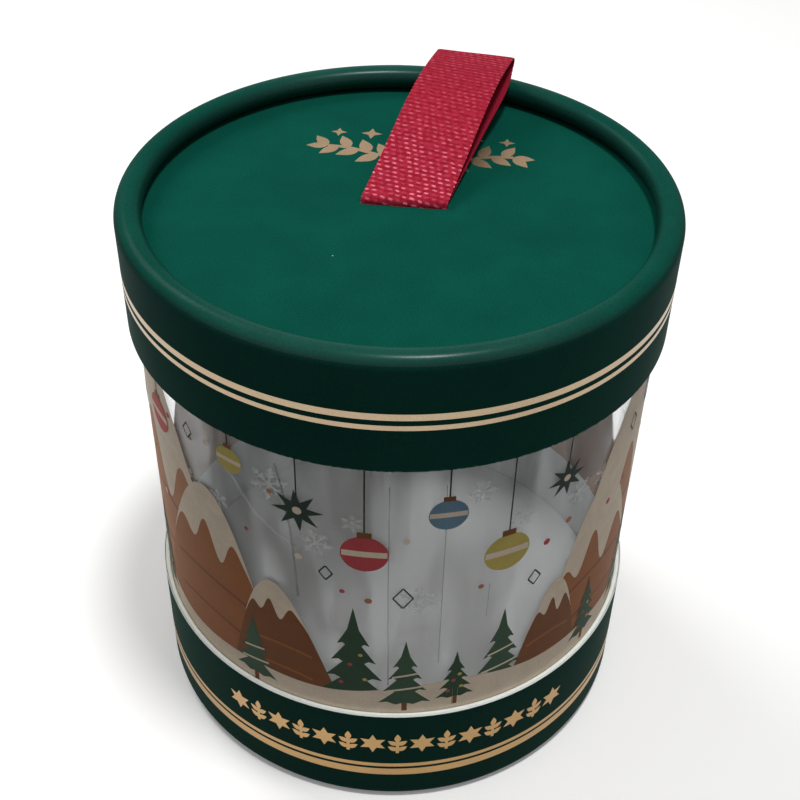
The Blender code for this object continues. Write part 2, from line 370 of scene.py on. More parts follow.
def ramp(tree, value, low, high, to_low=0.0, to_high=1.0):
    """Maps a value smoothly between two marks, and holds it outside them."""
    made = add(tree, "ShaderNodeMapRange", interpolation_type="SMOOTHSTEP")
    tree.links.new(value, made.inputs["Value"])
    marks = {"From Min": low, "From Max": high, "To Min": to_low, "To Max": to_high}
    for label, mark in marks.items():
        if isinstance(mark, (int, float)):
            made.inputs[label].default_value = mark
        else:
            tree.links.new(mark, made.inputs[label])
    return made.outputs["Result"]


def noise(tree, vector, scale, detail=3.0, roughness=0.5):
    """A noise value about 0.5, from a vector in metres."""
    made = add(tree, "ShaderNodeTexNoise")
    made.inputs["Detail"].default_value = detail
    made.inputs["Roughness"].default_value = roughness
    if isinstance(scale, (int, float)):
        made.inputs["Scale"].default_value = scale
    else:
        tree.links.new(scale, made.inputs["Scale"])
    tree.links.new(vector, made.inputs["Vector"])
    return made.outputs["Fac"]


def paper_grain_group():
    """Fibre grain of a printed paper: a shade about 0, and a height about 0."""
    group, given, results = grow_group(
        "paper_grain",
        (("Fibres per metre", 2600.0), ("Cloud per metre", 60.0)),
        ("Shade", "Height"),
    )
    place = object_place(group)
    fibres = noise(group, place, given["Fibres per metre"], 4.0, 0.65)
    cloud = noise(group, place, given["Cloud per metre"], 3.0, 0.55)
    fine = calculate(group, "SUBTRACT", fibres, 0.5)
    broad = calculate(group, "SUBTRACT", cloud, 0.5)
    shade = calculate(group, "MULTIPLY_ADD", fine, 1.4, calculate(group, "MULTIPLY", broad, 0.65))
    group.links.new(shade, results["Shade"])
    group.links.new(fine, results["Height"])
    return group


def rubbed_edge_group():
    """Paper rubbed bare in spots within a short reach of one height."""
    group, given, results = grow_group(
        "rubbed_edge",
        (("Edge height", 0.0), ("Reach", 0.0004), ("Spots per metre", 900.0)),
        ("Mask",),
    )
    place = object_place(group)
    height = split(group, place)["Z"]
    away = calculate(group, "SUBTRACT", height, given["Edge height"])
    away = calculate(group, "ABSOLUTE", away)
    near = ramp(group, away, 0.0, given["Reach"], 1.0, 0.0)
    spots = ramp(group, noise(group, place, given["Spots per metre"], 3.0), 0.46, 0.62)
    group.links.new(calculate(group, "MULTIPLY", near, spots), results["Mask"])
    return group


def dust_group():
    """A few pale specks of lint."""
    group, given, results = grow_group(
        "dust",
        (("Cells per metre", 160.0), ("Speck", 0.035)),
        ("Mask",),
    )
    place = object_place(group)
    cells = add(group, "ShaderNodeTexVoronoi")
    group.links.new(place, cells.inputs["Vector"])
    group.links.new(given["Cells per metre"], cells.inputs["Scale"])
    parts = add(group, "ShaderNodeSeparateColor")
    group.links.new(cells.outputs["Color"], parts.inputs[0])
    size = calculate(group, "MULTIPLY", given["Speck"], parts.outputs["Red"])
    speck = calculate(group, "LESS_THAN", cells.outputs["Distance"], size)
    chosen = calculate(group, "GREATER_THAN", parts.outputs["Green"], 0.8)
    group.links.new(calculate(group, "MULTIPLY", speck, chosen), results["Mask"])
    return group


def weave_group():
    """Grosgrain: raised ribs across the ribbon, and a mask of lengthwise threads for painted
    glints.
    """
    group, given, results = grow_group(
        "grosgrain_weave",
        (("Rib pitch", RIB_PITCH), ("Glint pitch", 0.0018), ("Thread pitch", 0.00045)),
        ("Crest", "Glint", "Height"),
    )
    flat = add(group, "ShaderNodeUVMap", uv_map="weave").outputs["UV"]
    parts = split(group, flat)
    along = calculate(group, "DIVIDE", parts["Y"], given["Rib pitch"])
    drift = calculate(group, "SUBTRACT", noise(group, flat, 330.0, 2.0), 0.5)
    along = calculate(group, "MULTIPLY_ADD", drift, 0.4, along)
    row = calculate(group, "ROUND", along)
    wave = calculate(group, "COSINE", calculate(group, "MULTIPLY", along, math.tau))
    crest = calculate(group, "MULTIPLY_ADD", wave, 0.5, 0.5)

    wobble = calculate(group, "SUBTRACT", noise(group, flat, 260.0, 2.0), 0.5)
    wobble = calculate(group, "MULTIPLY", wobble, 0.8)
    place = calculate(group, "DIVIDE", parts["X"], given["Glint pitch"])
    place = calculate(group, "ADD", place, calculate(group, "MULTIPLY_ADD", row, 0.3, wobble))
    cell = calculate(group, "FLOOR", place)
    hump = calculate(group, "SUBTRACT", calculate(group, "FRACT", place), 0.5)
    dash = ramp(group, calculate(group, "ABSOLUTE", hump), 0.14, 0.36, 1.0, 0.0)
    pair = add(group, "ShaderNodeCombineXYZ")
    group.links.new(cell, pair.inputs["X"])
    group.links.new(row, pair.inputs["Y"])
    chance = add(group, "ShaderNodeTexWhiteNoise", noise_dimensions="2D")
    group.links.new(pair.outputs["Vector"], chance.inputs["Vector"])
    luck = ramp(group, chance.outputs["Value"], 0.0, 0.8, 0.1, 1.0)
    glint = calculate(group, "MULTIPLY", dash, ramp(group, crest, 0.5, 0.95))
    glint = calculate(group, "MULTIPLY", glint, luck)

    side = calculate(group, "DIVIDE", parts["X"], given["Thread pitch"])
    side = calculate(group, "MULTIPLY_ADD", row, 0.5, side)
    thread = calculate(group, "COSINE", calculate(group, "MULTIPLY", side, math.tau))
    thread = calculate(group, "MULTIPLY_ADD", thread, 0.5, 0.5)
    height = calculate(group, "MULTIPLY", thread, calculate(group, "MULTIPLY_ADD", crest, 0.6, 0.4))
    group.links.new(crest, results["Crest"])
    group.links.new(glint, results["Glint"])
    group.links.new(height, results["Height"])
    return group


def effect(tree, group, **values):
    """Places a shared effect in a material with its own values."""
    made = add(tree, "ShaderNodeGroup")
    made.node_tree = group
    for label, value in values.items():
        made.inputs[label.replace("_", " ")].default_value = value
    return made


def finish_material(name, roughness, metallic=0.0, specular=0.5):
    """A material with its Principled shader, ready for its own colours and bumps."""
    material = bpy.data.materials.new(name)
    material.use_nodes = True
    tree = material.node_tree
    shader = tree.nodes["Principled BSDF"]
    shader.inputs["Roughness"].default_value = roughness
    shader.inputs["Metallic"].default_value = metallic
    shader.inputs["Specular IOR Level"].default_value = specular
    return material, tree, shader


def object_place(tree):
    """The place on the piece, in metres from the box's foot."""
    return add(tree, "ShaderNodeTexCoord").outputs["Object"]


def split(tree, vector):
    """A vector's X, Y and Z, by name."""
    made = add(tree, "ShaderNodeSeparateXYZ")
    tree.links.new(vector, made.inputs[0])
    return made.outputs


def stretched(tree, vector, scale, shift=(0.0, 0.0, 0.0)):
    """A place scaled by its own amount along each axis, then moved."""
    made = add(tree, "ShaderNodeMapping")
    made.inputs["Scale"].default_value = scale
    made.inputs["Location"].default_value = shift
    tree.links.new(vector, made.inputs["Vector"])
    return made.outputs["Vector"]


def shaded(colour, share):
    """A colour at a share of its brightness."""
    return tuple(c * share for c in colour)


def blend_colours(tree, factor, first, second):
    """Mixes two colours, each a socket or an (r, g, b)."""
    made = add(tree, "ShaderNodeMix", data_type="RGBA")
    tree.links.new(factor, made.inputs["Factor"])
    for label, colour in (("A", first), ("B", second)):
        socket = next(s for s in made.inputs if s.name == label and s.type == "RGBA")
        if isinstance(colour, tuple):
            socket.default_value = (*colour, 1.0)
        else:
            tree.links.new(colour, socket)
    return next(s for s in made.outputs if s.type == "RGBA")


def bump(tree, shader, height, strength, distance):
    """Feeds a height in metres times distance to the shader's normal."""
    made = add(tree, "ShaderNodeBump")
    made.inputs["Strength"].default_value = strength
    made.inputs["Distance"].default_value = distance
    tree.links.new(height, made.inputs["Height"])
    tree.links.new(made.outputs["Normal"], shader.inputs["Normal"])


def green_paper(name, colour, groups, edge, roughness, specular, foot=None, polish=0.0):
    """Printed green paper: fibre grain, cloudy ink, lint, and a rubbed cut edge.

    foot is (colour, low, high): a darker colour painted below as painted shade, and the heights
    between which it turns to the paper's own colour.
    polish is the clear gloss where the paper is handled, at its front and back.
    """
    material, tree, shader = finish_material(name, roughness, specular=specular)
    shader.inputs["Specular Tint"].default_value = (0.42, 1.0, 0.93, 1.0)
    if polish:
        aside = calculate(tree, "ABSOLUTE", split(tree, object_place(tree))["X"])
        side_polish = polish * SIDE_POLISH_SHARE
        handled = ramp(tree, aside, POLISH_FROM, POLISH_TO, polish, side_polish)
        tree.links.new(handled, shader.inputs["Coat Weight"])
        shader.inputs["Coat Roughness"].default_value = 0.25
    grain = effect(tree, groups["paper_grain"])
    wear_and_glint_fade = effect(tree, groups["rubbed_edge"], Edge_height=edge)
    dust = effect(tree, groups["dust"])
    tone = ramp(tree, grain.outputs["Shade"], -0.35, 0.35)
    printed = blend_colours(tree, tone, shaded(colour, 0.8), shaded(colour, 1.2))
    # Painted shade: below a height the print turns to a darker colour.
    if foot:
        shade_colour, low, high = foot
        height = split(tree, object_place(tree))["Z"]
        shaded_print = blend_colours(tree, tone, shaded(shade_colour, 0.8), shaded(shade_colour, 1.2))
        printed = blend_colours(tree, ramp(tree, height, low, high), shaded_print, printed)
    printed = blend_colours(tree, wear_and_glint_fade.outputs["Mask"], printed, RUBBED_PAPER)
    printed = blend_colours(tree, dust.outputs["Mask"], printed, LINT)
    tree.links.new(printed, shader.inputs["Base Color"])
    gloss = ramp(tree, grain.outputs["Shade"], -0.4, 0.4, roughness - 0.06, roughness + 0.06)
    tree.links.new(gloss, shader.inputs["Roughness"])
    bump(tree, shader, grain.outputs["Height"], 0.25, 0.00006)
    return material


def white_board(name, colour, groups, edge):
    """Raw white board: fibres, and a slightly grey, frayed cut edge."""
    material, tree, shader = finish_material(name, 0.85, specular=0.2)
    grain = effect(tree, groups["paper_grain"], Fibres_per_metre=1900.0)
    wear_and_glint_fade = effect(tree, groups["rubbed_edge"], Edge_height=edge, Reach=0.0003)
    tone = ramp(tree, grain.outputs["Shade"], -0.35, 0.35)
    board = blend_colours(tree, tone, shaded(colour, 0.9), colour)
    board = blend_colours(tree, wear_and_glint_fade.outputs["Mask"], board, shaded(colour, 0.92))
    tree.links.new(board, shader.inputs["Base Color"])
    bump(tree, shader, grain.outputs["Height"], 0.5, 0.0001)
    return material


def foil(name, colour, groups, roughness):
    """Hot-stamped metal foil: bright, a little uneven, following the paper's grain."""
    material, tree, shader = finish_material(name, roughness, metallic=1.0)
    grain = effect(tree, groups["paper_grain"], Cloud_per_metre=140.0)
    tone = ramp(tree, grain.outputs["Shade"], -0.35, 0.35)
    metal = blend_colours(tree, tone, shaded(colour, 0.82), colour)
    tree.links.new(metal, shader.inputs["Base Color"])
    gloss = ramp(tree, grain.outputs["Shade"], -0.4, 0.4, roughness - 0.08, roughness + 0.1)
    tree.links.new(gloss, shader.inputs["Roughness"])
    bump(tree, shader, grain.outputs["Height"], 0.3, 0.00004)
    return material


def ink(name, colour, groups):
    """Printing ink on the clear sheet, with a fine screen and slightly uneven cover."""
    material, tree, shader = finish_material(name, 0.5, specular=0.04)
    grain = effect(tree, groups["paper_grain"], Cloud_per_metre=220.0, Fibres_per_metre=3400.0)
    tone = ramp(tree, grain.outputs["Shade"], -0.4, 0.4)
    shade = blend_colours(tree, tone, shaded(colour, 0.84), shaded(colour, 1.08))
    tree.links.new(shade, shader.inputs["Base Color"])
    return material


def veil_ink(name, colour, cover, groups):
    """A thin white ink that lets part of the light through."""
    material, tree, shader = finish_material(name, 0.6, specular=0.2)
    grain = effect(tree, groups["paper_grain"], Cloud_per_metre=200.0)
    shade = ramp(tree, grain.outputs["Shade"], -0.4, 0.4, cover * 0.75, cover * 1.2)
    tone = ramp(tree, grain.outputs["Shade"], -0.4, 0.4)
    tint = blend_colours(tree, tone, shaded(colour, 0.9), colour)
    tree.links.new(tint, shader.inputs["Base Color"])
    tree.links.new(shade, shader.inputs["Alpha"])
    return material


def clear_film():
    """Clear glossy sheet. Light for shadows goes straight through it."""
    material, tree, shader = finish_material("clear_film", 0.05)
    shader.inputs["Base Color"].default_value = (0.97, 0.98, 0.98, 1.0)
    shader.inputs["IOR"].default_value = 1.06
    shader.inputs["Transmission Weight"].default_value = 1.0
    place = object_place(tree)
    haze = noise(tree, place, 45.0, 3.0)
    tree.links.new(ramp(tree, haze, 0.35, 0.7, 0.03, 0.1), shader.inputs["Roughness"])
    waves = noise(tree, stretched(tree, place, (60.0, 60.0, 9.0)), 1.0, 2.0)
    bump(tree, shader, waves, 0.6, 0.0006)
    light_path = add(tree, "ShaderNodeLightPath")
    passing = add(tree, "ShaderNodeBsdfTransparent")
    passing.inputs["Color"].default_value = (0.93, 0.94, 0.94, 1.0)
    mixed = add(tree, "ShaderNodeMixShader")
    tree.links.new(light_path.outputs["Is Shadow Ray"], mixed.inputs["Fac"])
    tree.links.new(shader.outputs["BSDF"], mixed.inputs[1])
    tree.links.new(passing.outputs["BSDF"], mixed.inputs[2])
    tree.links.new(mixed.outputs["Shader"], tree.nodes["Material Output"].inputs["Surface"])
    return material


def haze_and_reflections_finish():
    """A faint pale veil in upright streaks, denser towards the two sides: painted reflections, with
    darker smudges of painted shade.
    """
    material, tree, shader = finish_material("film_haze_and_reflections", 0.6, specular=0.05)
    place = object_place(tree)
    reflection_streaks = noise(tree, stretched(tree, place, (85.0, 85.0, 9.0)), 1.0, 3.0, 0.6)
    elsewhere = stretched(tree, place, (70.0, 70.0, 22.0), (0.31, 0.17, 0.05))
    shade_smudge = ramp(tree, noise(tree, elsewhere, 1.0, 2.0), 0.44, 0.58)
    # Painted shade: darker smudges in the veil's colour.
    tint = blend_colours(tree, shade_smudge, (0.9, 0.92, 0.92), (0.26, 0.26, 0.25))
    tree.links.new(tint, shader.inputs["Base Color"])
    # Painted reflections: pale upright streaks, denser towards the two sides.
    cover = ramp(tree, reflection_streaks, 0.4, 0.62, 0.035, 0.165)
    aside = calculate(tree, "ABSOLUTE", split(tree, place)["X"])
    side = ramp(tree, aside, 0.01, 0.028, 0.0, 0.09)
    tree.links.new(calculate(tree, "ADD", cover, side), shader.inputs["Alpha"])
    return material


def red_weave(groups):
    """Red grosgrain: painted shade in grooves and at the fold, painted glints fewer towards the
    fold.
    """
    material, tree, shader = finish_material("red_grosgrain", 0.6, specular=0.03)
    weave = effect(tree, groups["grosgrain_weave"])
    flat = add(tree, "ShaderNodeUVMap", uv_map="weave").outputs["UV"]
    along = split(tree, flat)["Y"]
    wear_and_glint_fade = ramp(tree, along, GLINT_FADE_FROM, GLINT_FADE_TO, 1.0, 0.24)
    smooth = ramp(tree, along, SMOOTH_FROM, SMOOTH_TO, 1.0, 0.0)
    cloud = ramp(tree, noise(tree, flat, 140.0, 3.0), 0.35, 0.65, 0.6, 1.0)
    # Painted glints: a bright thread colour standing in for highlights, fading along the ribbon.
    lit = calculate(tree, "MULTIPLY", weave.outputs["Glint"], wear_and_glint_fade)
    lit = calculate(tree, "MULTIPLY", lit, cloud)
    lit = calculate(tree, "MULTIPLY", lit, smooth)
    patchy = ramp(tree, noise(tree, flat, 700.0, 3.0, 0.6), 0.36, 0.64)
    # Painted shade in the grooves between the ribs.
    clear_of_groove_shade = calculate(tree, "MULTIPLY_ADD", weave.outputs["Crest"], 0.6, patchy)
    red = blend_colours(tree, ramp(tree, clear_of_groove_shade, 0.15, 1.25), RIBBON_GROOVE_SHADE, RIBBON_BODY)
    # Painted shade: a darker red at the fold and on the back ply, and darker towards the fold.
    red = blend_colours(tree, smooth, RIBBON_FOLD_SHADE, red)
    near_fold_shade = ramp(tree, along, FOLD_SHADE_FROM, FOLD_SHADE_TO, 1.0, 0.6)
    red = blend_colours(tree, near_fold_shade, RIBBON_NEAR_FOLD_SHADE, red)
    red = blend_colours(tree, lit, red, RIBBON_GLINT)
    tree.links.new(red, shader.inputs["Base Color"])
    sheen = ramp(tree, weave.outputs["Crest"], 0.0, 1.0, 0.7, 0.5)
    tree.links.new(sheen, shader.inputs["Roughness"])
    shader.inputs["Specular Tint"].default_value = (1.0, 0.4, 0.45, 1.0)
    bump(tree, shader, weave.outputs["Height"], 0.6, 0.00007)
    return material


def place_mesh(name, shape, materials):
    """Makes a named object from a finished bmesh."""
    mesh = bpy.data.meshes.new(name)
    shape.to_mesh(mesh)
    shape.free()
    mesh.shade_smooth()
    mesh.set_sharp_from_angle(angle=SHARP_ANGLE)
    for material in materials:
        mesh.materials.append(material)
    thing = bpy.data.objects.new(name, mesh)
    bpy.context.scene.collection.objects.link(thing)
    return thing


def round_angles(extra=()):
    """Angles once round, from the back, with any extra ones that an edge needs."""
    angles = [math.tau * i / ROUND_STEPS for i in range(ROUND_STEPS)]
    return sorted(set(angles) | set(extra))


def turned(name, outline, materials, rise=None, extra=()):
    """Turns a closed outline of (radius, height, outer share, material index) about the z axis.

    rise(angle) is how far the outer face stands proud there.
    """
    shape = bmesh.new()
    rings = []
    for angle in round_angles(extra):
        proud = rise(angle) if rise else 0.0
        ring = [
            shape.verts.new(
                (-(r + proud * share) * math.sin(angle), (r + proud * share) * math.cos(angle), z)
            )
            for r, z, share, _ in outline
        ]
        rings.append(ring)
    count = len(outline)
    for i, ring in enumerate(rings):
        other = rings[(i + 1) % len(rings)]
        for j in range(count):
            k = (j + 1) % count
            face = shape.faces.new((ring[j], other[j], other[k], ring[k]))
            face.material_index = outline[j][3]
    bmesh.ops.recalc_face_normals(shape, faces=shape.faces)
    return place_mesh(name, shape, materials)


def rolled_outline(outer, roll, thickness, cut_edge, rim, rim_height, roll_finish, edge_finish):
    """A wall that runs from its rounded cut edge to an oval roll turned inward at the rim.

    rim is 1 where the roll is at the top and -1 where it is at the bottom.
    """
    centre_radius = outer - roll
    centre_height = rim_height - rim * ROLL_RADIUS * ROLL_FLATNESS_SHARE

    def arc(radius, share, finish):
        points = []
        for i in range(ROLL_STEPS + 1):
            turn = ROLL_TURN * i / ROLL_STEPS
            if i == ROLL_STEPS_OF_WALL:
                finish = roll_finish
            points.append(
                (
                    centre_radius + radius * math.cos(turn),
                    centre_height + rim * radius * ROLL_FLATNESS_SHARE * math.sin(turn),
                    share * max(0.0, math.cos(turn)),
                    finish,
                )
            )
        return points

    inner_radius = outer - thickness
    turn_in = min(EDGE_ROUND, thickness * 0.4)
    inside = cut_edge + rim * turn_in
    outline = [(outer, inside, 1.0, 0)] + arc(roll, 1.0, 0)
    outline += list(reversed(arc(roll - thickness, 0.0, roll_finish)))
    outline += [
        (inner_radius, inside, 0.0, edge_finish),
        (inner_radius + turn_in, cut_edge, 0.0, edge_finish),
        (outer - turn_in, cut_edge, 1.0, edge_finish),
    ]
    return outline


def wrap_lap(angle):
    """The paper wrap's overlap at the back: a crisp edge on one side, fading on the other."""
    away = ((angle + math.pi) % math.tau - math.pi) * LID_RADIUS
    if away < 0 or away > WRAP_LAP_WIDTH:
        return 0.0
    return WRAP_LAP * (1 - away / WRAP_LAP_WIDTH)


def side_pieces(finishes):
    """The four rolled side layers, in fine turned form."""
    lap_edge = WRAP_LAP_EDGE / LID_RADIUS
    lap_start = (lap_edge, math.tau - lap_edge)
    board_roll = ROLL_RADIUS - WRAP_PAPER - GLUE_LINE
    for part, rim, rim_height, edge, wrap_radius, board_radius in (
        ("lid", 1, LID_TOP, LID_EDGE, LID_RADIUS, LID_BOARD_RADIUS),
        ("base", -1, BASE_BOTTOM, BASE_EDGE, BASE_RADIUS, BASE_BOARD_RADIUS),
    ):
        outline = rolled_outline(wrap_radius, ROLL_RADIUS, WRAP_PAPER, edge, rim, rim_height, 1, 2)
        papers = [finishes[part + kind] for kind in ("_wrap", "_roll", "_board")]
        wrap = turned(part + "_rolled_wrap", outline, papers, wrap_lap, lap_start)
        outline = rolled_outline(board_radius, board_roll, SIDE_BOARD, edge, rim, rim_height, 0, 1)
        boards = (finishes["side_board"], finishes[part + "_board"])
        board = turned(part + "_rolled_board", outline, boards)
        for piece, node, slot_name in (
            (wrap, part + "_side_wrap", "green_wrap"),
            (board, part + "_side_board", "white_board"),
        ):
            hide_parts(node)
            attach(piece, part)


def sheet_radius(angle):
    """The clear sheet's outer radius at an angle from the back, on its first turn."""
    into_ramp = (angle - math.tau + SHEET_RAMP / SHEET_RADIUS) * SHEET_RADIUS
    share = min(1.0, max(0.0, into_ramp / SHEET_RAMP))
    return SHEET_RADIUS - (SHEET_THICKNESS + GLUE_LINE) * share * share * (3 - 2 * share)


def window_tube(finishes):
    """The clear sheet, once round and under its own start at the back."""
    lap = SHEET_LAP / SHEET_RADIUS
    steps = ROUND_STEPS + round(ROUND_STEPS * lap / math.tau)
    outer, inner = [], []
    for i in range(steps + 1):
        angle = (math.tau + lap) * i / steps
        radius = sheet_radius(angle)
        direction = Vector((-math.sin(angle), math.cos(angle), 0))
        outer.append(direction * radius)
        inner.append(direction * (radius - SHEET_THICKNESS))
    shape = bmesh.new()
    outline = outer + inner[::-1]
    low = [shape.verts.new(point + UP * SHEET_LOW.z) for point in outline]
    high = [shape.verts.new(point + UP * SHEET_HIGH.z) for point in outline]
    count = len(outline)
    for i in range(count):
        k = (i + 1) % count
        shape.faces.new((low[i], low[k], high[k], high[i]))
    for i in range(len(outer) - 1):
        j = count - 1 - i
        shape.faces.new((low[i], low[j], low[j - 1], low[i + 1]))
        shape.faces.new((high[i], high[i + 1], high[j - 1], high[j]))
    bmesh.ops.recalc_face_normals(shape, faces=shape.faces)
    tube = place_mesh("window_tube", shape, (finishes["film"],))
    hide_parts("window_sheet")
    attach(tube, "base")


def film_haze_and_reflections(finishes):
    """The dull, streaky look of the handled sheet: a thin veil just inside it, with painted
    reflections and painted shade, and its creases.
    """
    radius = SHEET_RADIUS - 2 * SHEET_THICKNESS - 2 * GLUE_LINE
    shape = bmesh.new()
    heights = (SHEET_LOW.z + GLUE_LINE, SHEET_HIGH.z - GLUE_LINE)
    rings = []
    for angle in round_angles():
        x, y = -radius * math.sin(angle), radius * math.cos(angle)
        rings.append([shape.verts.new((x, y, z)) for z in heights])
    for ring, other in zip(rings, rings[1:] + rings[:1]):
        shape.faces.new((ring[0], ring[1], other[1], other[0]))
    haze = place_mesh("window_haze_and_reflections", shape, (finishes["haze"],))
    patches = []
    for finish, width, route in CREASES:
        for (x, y), (far_x, far_y) in zip(route, route[1:]):
            patches.append((stroke(x, y, far_x - x, far_y - y, width), finish, 0.0))
    inks = (finishes["crease_dark"], finishes["crease_light"])
    creases = decal("window_creases", patches, inks, on_sheet)
    for piece in (haze, creases):
        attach(piece, "base")


def foil_lines(finishes):
    """Stamped foil lines round both sides."""
    for part, radius, lines in (("lid", LID_RADIUS, LID_LINES), ("base", BASE_RADIUS, BASE_LINES)):
        for i, (low, high) in enumerate(lines):
            outer = radius + FOIL_RISE
            outline = [
                (outer, low, 1.0, 0),
                (outer, high, 1.0, 0),
                (radius - FOIL_RISE, high, 1.0, 0),
                (radius - FOIL_RISE, low, 1.0, 0),
            ]
            name = f"{part}_foil_line_{i + 1}"
            line = turned(name, outline, (finishes[part + "_foil"],), wrap_lap)
            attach(line, part)


def ellipse(x, y, wide, tall, steps=28):
    """Outline of an ellipse."""
    return [
        (
            x + wide / 2 * math.cos(math.tau * i / steps),
            y + tall / 2 * math.sin(math.tau * i / steps),
        )
        for i in range(steps)
    ]


def star(x, y, reach, waist_share, points, turn=0.0):
    """Outline of a star with straight points."""
    outline = []
    for i in range(2 * points):
        radius = reach * (1.0 if i % 2 == 0 else waist_share)
        angle = turn + math.pi / 2 + math.pi * i / points
        outline.append((x + radius * math.cos(angle), y + radius * math.sin(angle)))
    return outline


def stroke(x, y, dx, dy, width):
    """A straight bar from (x, y) along (dx, dy)."""
    length = math.hypot(dx, dy)
    nx, ny = -dy / length / 2, dx / length / 2
    return [
        (x - nx * width, y - ny * width),
        (x + dx - nx * width, y + dy - ny * width),
        (x + dx + nx * width, y + dy + ny * width),
        (x + nx * width, y + ny * width),
    ]


def arc_band(x, y, radius, width, start, end, steps):
    """A curved band, as a list of short four-sided outlines."""
    bands = []
    for i in range(steps):
        a = start + (end - start) * i / steps
        b = start + (end - start) * (i + 1) / steps
        near, far = radius - width / 2, radius + width / 2
        bands.append(
            [
                (x + near * math.cos(a), y + near * math.sin(a)),
                (x + far * math.cos(a), y + far * math.sin(a)),
                (x + far * math.cos(b), y + far * math.sin(b)),
                (x + near * math.cos(b), y + near * math.sin(b)),
            ]
        )
    return bands


def leaf(x, y, angle, length, width, steps=8):
    """A pointed leaf from its stalk outward."""
    sides = ([], [])
    for i in range(steps + 1):
        share = i / steps
        half = width / 2 * math.sin(math.pi * share**0.8)
        for side, points in zip((1, -1), sides):
            points.append(
                (
                    x + length * share * math.cos(angle) - side * half * math.sin(angle),
                    y + length * share * math.sin(angle) + side * half * math.cos(angle),
                )
            )
    return sides[1] + sides[0][1:-1][::-1]


def snowflake(x, y, reach, width, turn):
    """Six arms with paired barbs, as bars."""
    bars = []
    for i in range(6):
        angle = turn + math.tau * i / 6
        dx, dy = math.cos(angle), math.sin(angle)
        bars.append(stroke(x, y, dx * reach, dy * reach, width))
        for share, size in ((0.45, 0.26), (0.7, 0.2)):
            for side in (-1, 1):
                barb = angle + side * math.pi / 3
                bars.append(
                    stroke(
                        x + dx * reach * share,
                        y + dy * reach * share,
                        math.cos(barb) * reach * size,
                        math.sin(barb) * reach * size,
                        width * 0.8,
                    )
                )
    return bars


def conifer(x, foot, wide, tall, tiers=4, teeth=3):
    """A conifer of overlapping tiers with toothed hems, as outlines from the bottom tier up."""
    outlines = []
    for i in range(tiers):
        low = foot + tall * 0.78 * i / tiers
        high = min(foot + tall, low + tall * 0.46)
        half = wide / 2 * (1 - 0.72 * i / tiers)
        hem = []
        for j in range(2 * teeth + 1):
            share = j / (2 * teeth)
            drop = 0 if j % 2 == 0 else tall * 0.035
            sag = tall * 0.03 * math.sin(math.pi * share)
            hem.append((x - half + 2 * half * share, low + drop - sag))
        waist = low + (high - low) * 0.42
        outlines.append(hem + [(x + half * 0.36, waist), (x, high), (x - half * 0.36, waist)])
    return outlines


def hill_crest(middle, half, top, lean, share):
    """A place on a hill's crest, at a share from -1 at its left foot to 1 at its right one."""
    rise = math.cos(math.pi / 2 * share) ** HILL_ROUNDNESS
    return middle + half * share + lean * rise, PRINT_FOOT + (top - PRINT_FOOT) * rise


def hill(middle, half, top, lean):
    """A rounded hill's outline."""
    crest = []
    for i in range(1, HILL_STEPS):
        crest.append(hill_crest(middle, half, top, lean, 1 - 2 * i / HILL_STEPS))
    return [(middle - half, PRINT_FOOT), (middle + half, PRINT_FOOT)] + crest


def hill_cap(middle, half, top, lean, cover):
    """The snow that lies on a hill's top share, with a wavy lower edge."""
    spread = math.acos((1 - cover) ** (1 / HILL_ROUNDNESS)) * 2 / math.pi
    depth = (top - PRINT_FOOT) * cover
    crest, hem = [], []
    for i in range(CAP_STEPS + 1):
        x, y = hill_crest(middle, half, top, lean, spread * (1 - 2 * i / CAP_STEPS))
        thick = depth * (0.5 - 0.5 * math.cos(math.tau * i / CAP_STEPS))
        wave = 0.62 + 0.22 * math.sin(CAP_DRIPS * math.tau * i / CAP_STEPS + 0.7)
        crest.append((x, y + CAP_OVERLAP))
        hem.append((x, y - thick * wave))
    return crest + hem[1:-1][::-1]


def decal(name, patches, finishes, surface, wraps=True):
    """Thin patches of print or foil on a surface.

    Each patch is (outline, finish index, layer), drawn flat in metres. surface turns a flat point
    and its layer into a place.
    """
    shape = bmesh.new()
    for outline, finish, layer in patches:
        face = shape.faces.new([shape.verts.new((x, y, layer)) for x, y in outline])
        face.material_index = finish
    shape.normal_update()
    for face in shape.faces:
        if face.normal.z < 0:
            face.normal_flip()
    bmesh.ops.triangulate(shape, faces=shape.faces)
    if wraps:
        low = min(corner.co.x for corner in shape.verts)
        high = max(corner.co.x for corner in shape.verts)
        for i in range(1, math.ceil((high - low) / DECAL_STEP)):
            bmesh.ops.bisect_plane(
                shape,
                geom=shape.verts[:] + shape.edges[:] + shape.faces[:],
                plane_co=(low + i * DECAL_STEP, 0, 0),
                plane_no=(1, 0, 0),
            )
    for corner in shape.verts:
        corner.co = surface(corner.co.x, corner.co.y, corner.co.z)
    return place_mesh(name, shape, finishes)


def on_sheet(x, y, layer):
    """A place on the clear sheet's outer face: x runs right from the front, y is the height."""
    angle = x / SHEET_RADIUS
    radius = sheet_radius(math.pi + angle) + INK_LAYER * (1 + layer)
    return Vector((radius * math.sin(angle), -radius * math.cos(angle), y))


def on_base(x, y, layer):
    """A place on the base's wrap."""
    angle = x / BASE_RADIUS
    radius = BASE_RADIUS + FOIL_RISE + INK_LAYER * layer
    return Vector((radius * math.sin(angle), -radius * math.cos(angle), y))


def on_disc(x, y, layer):
    """A place on the lid's facing, in the slot's own directions."""
    along = Vector(frame["joints"][1]["axis"])
    across = UP.cross(along)
    return along * x + across * y + UP * (DISC_TOP + FOIL_RISE + INK_LAYER * layer)


def in_ink(outlines, colour, layer):
    """Patches in one of the print's inks."""
    index = list(PRINT_INKS).index(colour)
    return [(outline, index, layer) for outline in outlines]


